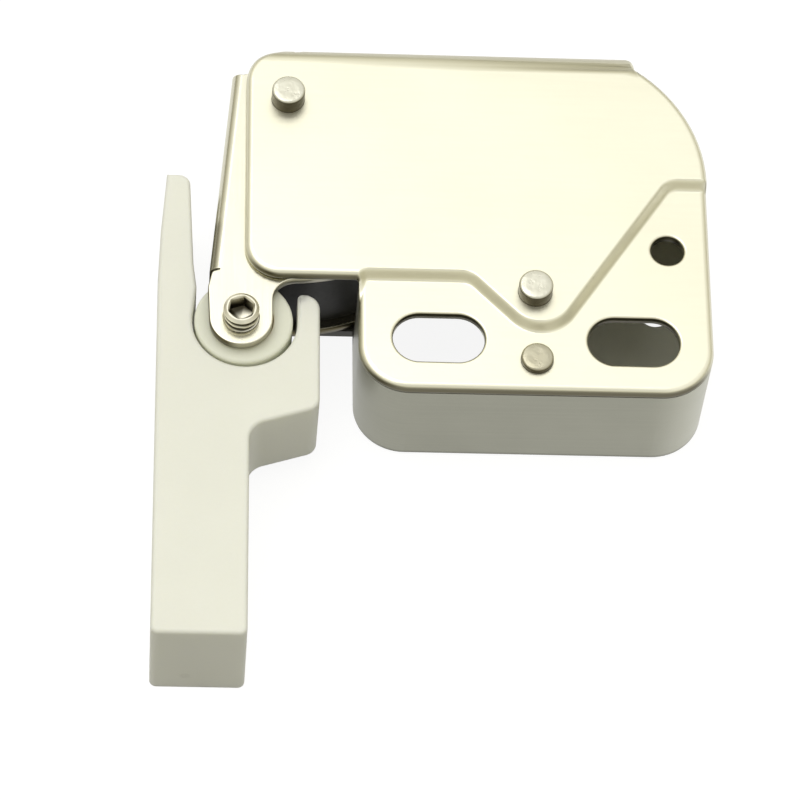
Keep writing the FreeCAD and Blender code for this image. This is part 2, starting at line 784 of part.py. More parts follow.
def main_spring():
    """The torsion spring round the arm pin: one leg under the flange, one along the arm's web."""
    seat_y = flange_inside_y - seat_gap - main_wire / 2
    tip = math.degrees(math.asin((seat_y - arm_pivot[1] - main_mean_radius) / main_fixed_leg))
    start = 90 + tip
    total = 180 - arm_lean - start + 360 * main_turns
    edges, (p0, t0), (p1, t1) = coil_edges(
        arm_pivot, main_mean_radius, start, total, main_pitch, main_start_z
    )
    fixed = Part.makeLine(p0 - t0 * main_fixed_leg, p0)
    moving = Part.makeLine(p1, p1 + t1 * main_moving_leg)
    print("main_spring least gap between turns", round(least_gap(edges, main_wire / 2), 3))
    return wire_tube([fixed] + edges + [moving], main_wire / 2)


def pawl_spring():
    """The light torsion spring round the pawl's spacer: one leg beside the post, one on the pawl."""
    wire = pawl_wire / 2
    radius = post_place[0] + post_radius + seat_gap + wire - pawl_pivot[0]
    lever = bearing_of(pawl_pivot, follower_place)
    edges, (p0, t0), (p1, t1) = coil_edges(
        pawl_pivot, radius, 0.0, lever - 90 + 360 * pawl_turns, pawl_pitch, pawl_start_z
    )
    fixed = Part.makeLine(p0 - t0 * pawl_fixed_leg, p0)
    bend = p1 + t1 * (pawl_moving_leg - pawl_hook_radius)
    up = (Vec(0, 0, 1) - t1 * t1.z).normalize()
    corner = bend + up * pawl_hook_radius
    middle = corner + (t1 - up).normalize() * pawl_hook_radius
    top = corner + t1 * pawl_hook_radius
    hook = [
        Part.makeLine(p1, bend),
        Part.Arc(bend, middle, top).toShape(),
        Part.makeLine(top, top + up * pawl_hook_height),
    ]
    print("pawl_spring least gap between turns", round(least_gap(edges, wire), 3))
    return wire_tube([fixed] + edges + hook, wire)


def striker_outline():
    """The keeper from the leg's foot round the hook, the roller's cup and the finger."""
    leg_right = striker_back_x + striker_leg_width
    cup_radius = (cup_right - cup_left) / 2
    cup_floor = roller_centre[1] - roller_radius - cup_floor_gap
    hook_right = cup_right + hook_wall
    hook_top_y = roller_centre[1] + hook_lift
    tip_right = cup_left - finger_tip_in
    return [
        (striker_back_x, striker_foot_y, leg_corner_radius),
        (leg_right, striker_foot_y, leg_corner_radius),
        (leg_right, shelf_inner_y, shelf_fillet),
        (hook_right, shelf_outer_y, shelf_corner_radius),
        (hook_right, hook_top_y, hook_outer_radius),
        (cup_right, hook_top_y, hook_inner_radius),
        (cup_right, cup_floor, cup_radius),
        (cup_left, cup_floor, cup_radius),
        (cup_left, roller_centre[1] + cup_lift, lip_foot_radius),
        (cup_left + lip_in, lip_y, lip_radius),
        (cup_left + finger_inner_in, finger_inner_y, finger_inner_radius),
        (tip_right, finger_top_y, finger_tip_radius),
        (tip_right - finger_tip_width, finger_top_y, 0.0),
        (striker_back_x + finger_bow_in, finger_bow_y, finger_bow_radius),
        (striker_back_x, finger_root_y, finger_bow_radius),
    ]


def striker():
    """The white keeper: a screwed leg, a hook with the roller's cup, and the finger that is pushed."""
    body = prism(striker_outline(), striker_under, striker_top)
    leg_right = striker_back_x + striker_leg_width
    leg = [
        (striker_back_x, striker_foot_y, leg_corner_radius),
        (leg_right, striker_foot_y, leg_corner_radius),
        (leg_right, striker_leg_end_y - shelf_fillet, 0.0),
        (leg_right, striker_leg_end_y, 0.0),
        (striker_back_x, striker_leg_end_y, 0.0),
    ]
    body = body.fuse(prism(leg, 0, striker_under + 1)).removeSplitter()
    rim = []
    for e in body.Edges:
        if abs(e.BoundBox.ZMin - striker_top) + abs(e.BoundBox.ZMax - striker_top) < 1e-4:
            rim.append(e)
    body = body.makeFillet(moulding_edge_radius, rim)
    middle_z = striker_top / 2
    for i in range(2):
        y = striker_foot_y + striker_hole_foot + i * striker_hole_spacing
        start = Vec(striker_back_x - 1, y, middle_z)
        body = body.cut(Part.makeCylinder(striker_hole_radius, striker_leg_width + 2, start, Vec(1, 0, 0)))
        sink = Vec(leg_right - striker_sink_depth, y, middle_z)
        body = body.cut(Part.makeCone(
            striker_hole_radius, striker_sink_radius, striker_sink_depth, sink, Vec(1, 0, 0)
        ))
    return body


def main():
    os.makedirs("parts", exist_ok=True)
    write("housing_tray", housing_tray())
    write("cover", cover())
    write("arm_pivot_pin", case_pin(arm_pivot, arm_pin_radius, arm_pin_stand, cover_top))
    write("pawl_pivot_pin", case_pin(pawl_pivot, pawl_pin_radius, pawl_pin_stand, cover_top))
    write("post_rivet", case_pin(post_place, post_rivet_radius, post_rivet_stand, case_depth))
    post_bore = post_rivet_radius + turning_gap
    write("post_spacer", tube(post_place, post_bore, post_radius, case_sheet, plate_z))
    sleeve_bore = arm_pin_radius + turning_gap
    sleeve = tube(
        arm_pivot, sleeve_bore, sleeve_bore + sleeve_wall, gap_low + spacer_end_gap, gap_high - spacer_end_gap
    )
    write("spring_sleeve", sleeve)
    spacer_bore = pawl_pin_radius + turning_gap
    spacer_radius = spacer_bore + spacer_wall
    low_spacer = tube(pawl_pivot, spacer_bore, spacer_radius, case_sheet, pawl_z - spacer_end_gap)
    write("pawl_spacer", low_spacer)
    pawl_top = pawl_z + pawl_sheet
    collar_radius = spacer_bore + collar_wall
    write("pawl_collar", tube(pawl_pivot, spacer_bore, collar_radius, pawl_top + spacer_end_gap, pocket_z))
    write("swing_arm", swing_arm())
    write("roller_axle", roller_axle())
    write("roller_bush", roller_bush())
    write("roller", roller())
    write("cam_block", cam_block())
    write("block_dowels", block_dowels())
    write("pawl", pawl())
    write("follower_pin", follower_pin())
    write("main_spring", main_spring())
    write("pawl_spring", pawl_spring())
    write("striker", striker())


main()
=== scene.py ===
import math
import bmesh
import bpy
import numpy as np
from mathutils import Matrix, Vector
from mathutils.geometry import delaunay_2d_cdt


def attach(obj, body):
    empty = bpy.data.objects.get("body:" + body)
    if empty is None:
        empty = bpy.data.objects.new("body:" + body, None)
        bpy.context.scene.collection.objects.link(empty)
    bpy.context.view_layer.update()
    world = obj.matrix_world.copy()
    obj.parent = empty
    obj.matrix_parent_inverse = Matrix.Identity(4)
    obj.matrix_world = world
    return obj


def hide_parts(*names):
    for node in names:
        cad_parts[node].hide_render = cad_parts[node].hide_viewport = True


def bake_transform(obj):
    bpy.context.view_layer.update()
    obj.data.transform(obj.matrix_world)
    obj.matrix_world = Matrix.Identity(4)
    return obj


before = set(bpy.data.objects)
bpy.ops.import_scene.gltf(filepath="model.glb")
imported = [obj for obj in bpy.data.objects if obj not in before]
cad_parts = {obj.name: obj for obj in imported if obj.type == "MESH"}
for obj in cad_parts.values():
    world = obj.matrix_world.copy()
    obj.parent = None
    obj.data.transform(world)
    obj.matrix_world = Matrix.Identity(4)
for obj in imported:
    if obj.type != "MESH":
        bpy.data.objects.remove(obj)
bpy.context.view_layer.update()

# The bench: the latch lies on its back on a white table, seen from above its foot and a little to
# the left. Lengths below are millimetres from the lower-left corner of the case, as in the drawing;
# the frame's own origin is the middle of the slot pattern on the back.
MM = 0.001
slot_centre = Vector((24.845, 5.02, 0.0))


def on_frame(point):
    return (Vector(point) - slot_centre) * MM


yaw, elevation, roll = math.radians(-6.169), math.radians(59.818), math.radians(6.581)
camera_distance = 388.558
looked_at = on_frame((13.883, 5.352, 0.0))
back = Vector((
    math.sin(yaw) * math.cos(elevation),
    -math.cos(yaw) * math.cos(elevation),
    math.sin(elevation),
))
level = Vector((math.cos(yaw), math.sin(yaw), 0.0))
right = level * math.cos(roll) + back.cross(level) * math.sin(roll)
photo_camera = bpy.data.cameras.new("photo_camera")
photo_camera.lens = 201.03
photo_camera.sensor_width = 36
photo_camera.clip_start = 0.01
camera = bpy.data.objects.new("photo_camera", photo_camera)
camera.matrix_world = Matrix.Translation(looked_at + back * camera_distance * MM) @ Matrix((
    right, back.cross(right), back,
)).transposed().to_4x4()
bpy.context.collection.objects.link(camera)
bpy.context.scene.camera = camera
bpy.context.scene.view_settings.view_transform = "Standard"


# Studio light: a pale tent that is brightest overhead and falls to olive grey at its foot, with a
# dark opening where the camera looks in, one soft lamp, and a table of white paper. Polished sides
# pick up the opening.
class Value:
    """A socket of a finish. Sums, differences and products of it become Math nodes."""

    def __init__(self, finish, socket):
        self.finish, self.socket = finish, socket

    def maths(self, operation, a, b):
        return self.finish.node("ShaderNodeMath", {"operation": operation}, {0: a, 1: b})

    def __add__(self, other):
        return self.maths("ADD", self, other)

    def __sub__(self, other):
        return self.maths("SUBTRACT", self, other)

    def __rsub__(self, other):
        return self.maths("SUBTRACT", other, self)

    def __mul__(self, other):
        return self.maths("MULTIPLY", self, other)

    __radd__ = __add__
    __rmul__ = __mul__

    def span(self, low, high, to_low=0.0, to_high=1.0):
        """A soft step from one value to another while this one goes from low to high."""
        return self.finish.node("ShaderNodeMapRange", {"interpolation_type": "SMOOTHSTEP"}, {
            "Value": self, "From Min": low, "From Max": high, "To Min": to_low, "To Max": to_high,
        })


class Finish:
    """A material, or the world's light, with the nodes that vary it over the surface."""

    def __init__(self, owner, shader="Principled BSDF"):
        owner.use_nodes = True
        self.owner = owner
        self.tree = owner.node_tree
        self.shader = self.tree.nodes[shader]

    def node(self, kind, settings=None, sockets=None, out=0):
        """Adds a node: its settings and ramp stops first, then the values or links of its sockets."""
        node = self.tree.nodes.new(kind)
        for key, value in (settings or {}).items():
            if key == "stops":
                ramp = node.color_ramp
                while len(ramp.elements) < len(value):
                    ramp.elements.new(0.5)
                for element, (place, colour) in zip(ramp.elements, value):
                    element.position, element.color = place, colour
            else:
                setattr(node, key, value)
        for key, value in (sockets or {}).items():
            self.link(node.inputs[key], value)
        return Value(self, node.outputs[out])

    def link(self, socket, value):
        if isinstance(value, Value):
            self.tree.links.new(value.socket, socket)
        else:
            socket.default_value = value

    def feed(self, name, value):
        self.link(self.shader.inputs[name], value)

    def mixed(self, factor, a, b):
        """Colour a where the factor is 0 and colour b where it is 1."""
        return self.node("ShaderNodeMix", {"data_type": "RGBA"}, {"Factor": factor, "A": a, "B": b}, out=2)

    def part_of(self, vector, axis):
        return self.node("ShaderNodeSeparateXYZ", None, {0: vector}, out=axis)

    def place(self):
        """The place on the piece, in metres of the frame."""
        return self.node("ShaderNodeTexCoord", out="Object")

    def facing(self, axis):
        """How squarely the surface faces along an axis, -1 to 1."""
        return self.part_of(self.node("ShaderNodeTexCoord", out="Normal"), axis)

    def noise(self, place, scale, detail):
        """A cloudy tone, about 0 to 1, with so many waves to the metre."""
        return self.node("ShaderNodeTexNoise", None, {"Vector": place, "Scale": scale, "Detail": detail})

    def streaks(self, place, scales, detail):
        """The same with its own number of waves to the metre along each axis."""
        stretched = self.node("ShaderNodeMapping", None, {"Vector": place, "Scale": scales})
        return self.noise(stretched, 1.0, detail)

    def relief(self, strength, depth, height):
        """Fine unevenness of the surface, with its depth in metres."""
        self.feed("Normal", self.node(
            "ShaderNodeBump", None, {"Strength": strength, "Distance": depth, "Height": height},
        ))


world = bpy.data.worlds.new("tent")
bpy.context.scene.world = world
tent = Finish(world, "Background")
direction = tent.node("ShaderNodeTexCoord", out="Generated")
cloth = tent.node("ShaderNodeValToRGB", {"stops": [
    (0.0, (0.28, 0.27, 0.205, 1)),
    (0.12, (0.40, 0.385, 0.30, 1)),
    (0.36, (0.64, 0.615, 0.50, 1)),
    (0.62, (0.90, 0.89, 0.82, 1)),
    (0.82, (0.98, 0.98, 0.95, 1)),
]}, {0: tent.part_of(direction, "Z")})
lit_wall = tent.part_of(direction, "Y").span(0.1, 0.8, 0.0, 0.8)
cloth = tent.node("ShaderNodeMix", {"data_type": "RGBA", "blend_type": "LIGHTEN"}, {
    "Factor": lit_wall, "A": cloth, "B": (0.46, 0.44, 0.35, 1),
}, out=2)
opening = tent.node(
    "ShaderNodeVectorMath", {"operation": "DOT_PRODUCT"}, {0: direction, 1: tuple(back)}, out="Value",
)
tent.feed("Color", tent.mixed(opening.span(0.93, 0.99, 0.0, 0.5), cloth, (0.02, 0.02, 0.015, 1)))
tent.feed("Strength", 1.0)

lamp = bpy.data.lights.new("soft_lamp", "AREA")
lamp.shape = "RECTANGLE"
lamp.size, lamp.size_y = 0.5, 0.35
lamp.energy = 0.8
soft_lamp = bpy.data.objects.new("soft_lamp", lamp)
soft_lamp.location = (-0.18, 0.10, 0.55)
soft_lamp.rotation_euler = (Vector((0, 0, 0)) - soft_lamp.location).to_track_quat("-Z", "Y").to_euler()
bpy.context.collection.objects.link(soft_lamp)

table_mesh = bpy.data.meshes.new("table")
table_mesh.from_pydata([(-3, -3, 0), (3, -3, 0), (3, 3, 0), (-3, 3, 0)], [], [(0, 1, 2, 3)])
table = bpy.data.objects.new("table", table_mesh)
bpy.context.collection.objects.link(table)
paper = Finish(bpy.data.materials.new("table_white"))
paper.feed("Base Color", (0.18, 0.18, 0.175, 1))
paper.feed("Roughness", 0.9)
paper.feed("Specular IOR Level", 0.0)
seen = paper.node("ShaderNodeLightPath", out="Is Camera Ray")
seen = seen + paper.node("ShaderNodeLightPath", out="Is Glossy Ray")
seen = seen + paper.node("ShaderNodeLightPath", out="Is Transmission Ray")
paper.feed("Emission Color", paper.mixed(seen, (0.0, 0.0, 0.0, 1), (0.90, 0.90, 0.90, 1)))
paper.feed("Emission Strength", 1.0)
table_mesh.materials.append(paper.owner)


# Housing tray: mild steel, deep drawn into a back with a wall round the foot, the right side and
# the shoulder, then nickel plated. The wall keeps the fine drawing marks that run round it. Its
# floor is painted pale to stand in for light, the right end of the wall carries a painted sheen,
# and painted shade darkens the mouth by the arm and the foot of the wall.
def kept(node, finish, edge):
    """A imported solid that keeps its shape: its faces are joined again and its edges broken."""
    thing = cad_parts[node]
    for slot in thing.material_slots:
        slot.material = finish.owner
    if not thing.material_slots:
        thing.data.materials.append(finish.owner)
    merge = thing.modifiers.new("whole_faces", "DECIMATE")
    merge.decimate_type = "DISSOLVE"
    merge.angle_limit = math.radians(1)
    rim = thing.modifiers.new("broken_edges", "BEVEL")
    rim.width = edge * MM
    rim.segments = 3
    rim.limit_method = "ANGLE"
    rim.angle_limit = math.radians(38)
    rim.miter_outer = "MITER_ARC"
    rim.harden_normals = True
    thing.modifiers.new("joined_points", "WELD").merge_threshold = 0.008 * MM


tray_steel = Finish(bpy.data.materials.new("tray_steel"))
place = tray_steel.place()
x, y, z = (tray_steel.part_of(place, axis) for axis in "XYZ")
up = tray_steel.facing("Z")
upright = up.span(-0.7, -0.3)
# Painted light: the floor inside is painted pale and matt, so that the shaded interior reads lit.
floor = up.span(0.8, 0.95) * z.span(0.5 * MM, 0.8 * MM) * z.span(1.5 * MM, 2.0 * MM, 1.0, 0.0)
# Painted shade: the inside wall in the mouth by the arm is painted near black.
mouth_shade = x.span(-15.0 * MM, -13.5 * MM, 1.0, 0.0) * y.span(4.5 * MM, 5.3 * MM) * upright
# Painted sheen: the right end of the wall is painted lighter, towards polished nickel.
painted_end_sheen = x.span(9.5 * MM, 15.0 * MM)
# Painted contact shadow: the foot of the wall is painted dark.
foot_shadow = z.span(0.1 * MM, 0.75 * MM, 1.0, 0.0) * upright
drawn = tray_steel.streaks(place, (90, 90, 4200), 5.0)
cloud = tray_steel.noise(place, 160.0, 3.0)
skin = tray_steel.mixed(drawn * 0.6 + cloud * 0.4, (0.29, 0.29, 0.235, 1), (0.43, 0.43, 0.36, 1))
skin = tray_steel.mixed(painted_end_sheen * 0.45, skin, (0.86, 0.86, 0.74, 1))
skin = tray_steel.mixed(floor, skin, (0.95, 0.94, 0.80, 1))
skin = tray_steel.mixed(mouth_shade, skin, (0.035, 0.033, 0.026, 1))
tray_steel.feed("Base Color", tray_steel.mixed(foot_shadow * 0.8, skin, (0.05, 0.05, 0.04, 1)))
tray_steel.feed("Metallic", (1 - floor) * 0.62)
tray_steel.feed("Roughness", drawn * 0.22 + 0.26 + floor * 0.4)
tray_steel.relief(0.25, 0.00004, drawn)
kept("housing_tray", tray_steel, 0.1)


# Rivets and pins: turned steel, upset cold into the flared holes of the back. The outer ends are
# left proud with a rolled crown and the faint rings and pits of the tool.
def bearing(centre, point):
    return math.atan2(point[1] - centre[1], point[0] - centre[0])


def around(centre, radius, angle):
    return (centre[0] + radius * math.cos(angle), centre[1] + radius * math.sin(angle))


def arc(centre, radius, start, turn, steps, first=0):
    """Points of an arc that begins at an angle and turns by another, in equal steps."""
    return [around(centre, radius, start + turn * k / steps) for k in range(first, steps + 1)]


def rounded(corners, closed=True, step=6.0):
    """The points of a line through corners (x, y, radius), each corner rounded by its radius."""
    points = []
    count = len(corners)
    for i, (x, y, r) in enumerate(corners):
        here = Vector((x, y))
        if r <= 0 or (not closed and i in (0, count - 1)):
            points.append((x, y))
            continue
        a = (Vector(corners[i - 1][:2]) - here).normalized()
        b = (Vector(corners[(i + 1) % count][:2]) - here).normalized()
        half = a.angle(b) / 2
        centre = here + (a + b).normalized() * (r / math.sin(half))
        start = bearing(centre, here + a * (r / math.tan(half)))
        end = bearing(centre, here + b * (r / math.tan(half)))
        turn = (end - start + math.pi) % (2 * math.pi) - math.pi
        points += arc(centre, r, start, turn, max(2, math.ceil(abs(math.degrees(turn)) / step)))
    return points


def piece(name, points, faces, finish, body, replaced, normals=None, crease=35.0):
    """A mesh piece from points in millimetres of the drawing, smooth between its true edges."""
    mesh = bpy.data.meshes.new(name)
    mesh.from_pydata([on_frame(p) for p in points], [], faces)
    mesh.update()
    mesh.validate()
    mesh.shade_smooth()
    if normals is not None:
        mesh.normals_split_custom_set_from_vertices([tuple(n) for n in normals])
    else:
        mesh.set_sharp_from_angle(angle=math.radians(crease))
    mesh.materials.append(finish.owner)
    thing = bpy.data.objects.new(name, mesh)
    bpy.context.collection.objects.link(thing)
    if normals is None:
        thing.modifiers.new("even_normals", "WEIGHTED_NORMAL").keep_sharp = True
    if body:
        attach(thing, body)
    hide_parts(*replaced)
    return thing


def turned(name, centre, profile, finish, body, replaced, sides=96):
    """A turned piece: a profile of (radius, height, fillet) spun round a centre, closed on itself."""
    line = rounded(profile, step=15.0)
    points, faces = [], []
    for i in range(sides):
        points += [(*around(centre, r, 2 * math.pi * i / sides), z) for r, z in line]
    n = len(line)
    for i in range(sides):
        a, b = i * n, (i + 1) % sides * n
        for k in range(n):
            m = (k + 1) % n
            faces.append((a + k, b + k, b + m, a + m))
    thing = piece(name, points, faces, finish, body, replaced)
    weld = bmesh.new()
    weld.from_mesh(thing.data)
    bmesh.ops.remove_doubles(weld, verts=weld.verts, dist=1e-7)
    bmesh.ops.recalc_face_normals(weld, faces=weld.faces)
    weld.to_mesh(thing.data)
    weld.free()
    thing.data.set_sharp_from_angle(angle=math.radians(35))


def metal(name):
    finish = Finish(bpy.data.materials.new(name))
    finish.feed("Metallic", 1.0)
    return finish


rivet_steel = metal("rivet_steel")
place = rivet_steel.place()
pits = rivet_steel.noise(place, 2200.0, 4.0)
cloud = rivet_steel.noise(place, 420.0, 2.0)
# Painted shade: the sides of the pins are painted dark and their crowns light, by how squarely each faces
# up.
lit_crown = rivet_steel.facing("Z").span(0.25, 0.75)
shorter = rivet_steel.part_of(place, "Z").span(12.2 * MM, 13.0 * MM, 1.0, 0.0)
bright = rivet_steel.mixed(cloud, (0.60, 0.58, 0.47, 1), (0.84, 0.83, 0.72, 1))
dull = rivet_steel.mixed(cloud, (0.42, 0.39, 0.28, 1), (0.58, 0.55, 0.42, 1))
painted_side_shade = rivet_steel.mixed(cloud, (0.05, 0.043, 0.026, 1), (0.11, 0.097, 0.062, 1))
bright = rivet_steel.mixed(shorter, bright, dull)
rivet_steel.feed("Base Color", rivet_steel.mixed(lit_crown, painted_side_shade, bright))
rivet_steel.feed("Roughness", pits * 0.25 + 0.18)
rivet_steel.relief(0.5, 0.00006, pits + cloud * 1.5)

arm_pivot, pawl_pivot, post_place = (3.61, 28.29), (24.745, 9.2), (24.845, 3.04)
arm_pin_radius, pawl_pin_radius, post_radius = 1.44, 1.46, 1.38
for name, centre, radius, top in (
    ("arm_pivot_pin", arm_pivot, arm_pin_radius, 13.83),
    ("pawl_pivot_pin", pawl_pivot, pawl_pin_radius, 13.60),
    ("post_rivet", post_place, post_radius, 11.95),
):
    flare = radius + 0.5
    turned(name + "_dressed", centre, [
        (0.0, 0.05, 0), (flare - 0.05, 0.05, 0.06), (flare, 0.0, 0.0), (flare + 0.05, 0.0, 0.0),
        (radius, 0.5, 0.1), (radius, top - 0.03, 0.24), (radius * 0.62, top, 0.9), (0.0, top, 0),
    ], rivet_steel, "case", (name,))


# Tubes round the pins: the post's spacer and the pawl's, the spring sleeve, and the pawl's collar,
# each cut from drawn tube with its ends broken.
turned_steel = metal("turned_steel")
rings = turned_steel.streaks(turned_steel.place(), (60, 60, 5200), 4.0)
turned_steel.feed("Base Color", turned_steel.mixed(rings, (0.38, 0.37, 0.32, 1), (0.56, 0.55, 0.48, 1)))
turned_steel.feed("Roughness", rings * 0.3 + 0.2)
turned_steel.relief(0.3, 0.00003, rings)


def tube(name, centre, bore, radius, low, high, edge=0.08):
    turned(name + "_dressed", centre, [
        (bore, low, edge), (radius, low, edge), (radius, high, edge), (bore, high, edge),
    ], turned_steel, "case", (name,))


back_top, under_plate, under_field = 0.9, 10.45, 11.35
tube("post_spacer", post_place, 1.43, 2.05, back_top, under_plate)
tube("spring_sleeve", arm_pivot, 1.49, 2.34, 2.05, 10.2)
tube("pawl_spacer", pawl_pivot, 1.51, 2.11, back_top, 8.8)
tube("pawl_collar", pawl_pivot, 1.51, 1.91, 10.0, under_field, 0.05)


# Springs: music wire, wound cold and left with a dark oiled skin. The strong one drives the arm
# and twists between the case and the arm; the light one steers the pawl.
spring_steel = metal("spring_steel")
skin = spring_steel.noise(spring_steel.place(), 900.0, 4.0)
spring_steel.feed("Base Color", spring_steel.mixed(skin, (0.16, 0.155, 0.14, 1), (0.34, 0.33, 0.29, 1)))
spring_steel.feed("Roughness", skin * 0.3 + 0.22)


def wire(node, path, radius, sides=18):
    """A round wire along a path, with domed ends."""
    path = [Vector(p) for p in path]
    tangents = []
    for i in range(len(path)):
        tangents.append((path[min(i + 1, len(path) - 1)] - path[max(i - 1, 0)]).normalized())
    stations = [(path[0] - tangents[0] * radius * 0.2, tangents[0], radius * 0.6)]
    stations += [(p, t, radius) for p, t in zip(path, tangents)]
    stations.append((path[-1] + tangents[-1] * radius * 0.2, tangents[-1], radius * 0.6))
    across = tangents[0].orthogonal().normalized()
    points, faces = [], []
    for centre, along, r in stations:
        across = (across - along * across.dot(along)).normalized()
        square = along.cross(across)
        for k in range(sides):
            t = 2 * math.pi * k / sides
            points.append(centre + (across * math.cos(t) + square * math.sin(t)) * r)
    for i in range(len(stations) - 1):
        for k in range(sides):
            m = (k + 1) % sides
            faces.append((i * sides + k, i * sides + m, (i + 1) * sides + m, (i + 1) * sides + k))
    last = (len(stations) - 1) * sides
    faces.append(tuple(reversed(range(sides))))
    faces.append(tuple(range(last, last + sides)))
    thing = piece(
        node + "_dressed", points, faces, spring_steel, None, (node,), crease=50,
    )
    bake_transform(thing)


def coil(centre, radius, start, total, pitch, z, steps=40):
    """Points of a rising coil, anticlockwise, in degrees, with the directions at its two ends."""
    points = []
    count = math.ceil(total / 360 * steps)
    for i in range(count + 1):
        turn = total * i / count
        points.append(Vector((
            *around(centre, radius, math.radians(start + turn)), z + pitch * turn / 360,
        )))
    tangents = []
    for turn in (0.0, total):
        t = math.radians(start + turn)
        tangents.append(Vector((-math.sin(t), math.cos(t), pitch / (2 * math.pi * radius))).normalized())
    return points, tangents[0], tangents[1]


turns, first_way, last_way = coil(arm_pivot, 3.3, start=96.443, total=1518.537, pitch=1.4, z=2.9)
leg = [turns[0] - first_way * 9.0, turns[0] - first_way * 0.3]
wire(
    "main_spring", leg + turns + [turns[-1] + last_way * 7.0], 0.45,
)

turns, first_way, last_way = coil(pawl_pivot, 2.75, start=0.0, total=789.03, pitch=1.05, z=5.6)
leg = [turns[0] - first_way * 7.0, turns[0] - first_way * 0.3]
bend = turns[-1] + last_way * 6.2
up = (Vector((0, 0, 1)) - last_way * last_way.z).normalized()
hook, hook_radius = [], 0.8
for k in range(9):
    t = math.pi / 2 * k / 8
    hook.append(bend + last_way * hook_radius * math.sin(t) + up * hook_radius * (1 - math.cos(t)))
hook.append(hook[-1] + up * 0.7)
wire(
    "pawl_spring", leg + turns + hook, 0.3,
)


# Swing arm: 0.9 mm steel strip, blanked with both ears flat, folded into a channel along the web
# and nickel plated. A relief slit at the web's foot lets the necks of the bosses stay flat. As for
# the other pressed sheets, the flat pattern is meshed first and then formed.
def closed_distance(points, line):
    """How far points lie inside a closed line; negative outside."""
    p = np.asarray(points, float)[:, None, :]
    a = np.asarray(line, float)[None]
    b = np.roll(a, -1, axis=1)
    ab = b - a
    t = np.clip(((p - a) * ab).sum(2) / np.maximum((ab * ab).sum(2), 1e-12), 0, 1)
    gap = np.sqrt((((a + ab * t[..., None]) - p) ** 2).sum(2)).min(1)
    ay, by, py = a[..., 1], b[..., 1], p[..., 1]
    crosses = (ay > py) != (by > py)
    rise = np.where(np.abs(by - ay) < 1e-12, 1e-12, by - ay)
    x = a[..., 0] + (py - ay) / rise * (b[..., 0] - a[..., 0])
    inside = (crosses & (p[..., 0] < x)).sum(1) % 2 == 1
    return np.where(inside, gap, -gap)


def shifted(line, distance):
    """A closed anticlockwise line moved inwards by a distance."""
    count = len(line)
    moved = []
    for i in range(count):
        here = Vector(line[i])
        a = here - Vector(line[i - 1])
        b = Vector(line[(i + 1) % count]) - here
        if a.length < 1e-9 or b.length < 1e-9:
            a = b = a if a.length > b.length else b
        a, b = a.normalized(), b.normalized()
        middle = Vector((-a.y - b.y, a.x + b.x))
        moved.append(here + middle * (distance / max(1 + a.dot(b), 0.25)))
    return moved


def roll_off(inside, radius):
    """How far a rolled edge falls at this distance inside it."""
    t = np.clip(radius - inside, 0, radius)
    return radius - np.sqrt(radius * radius - t * t)


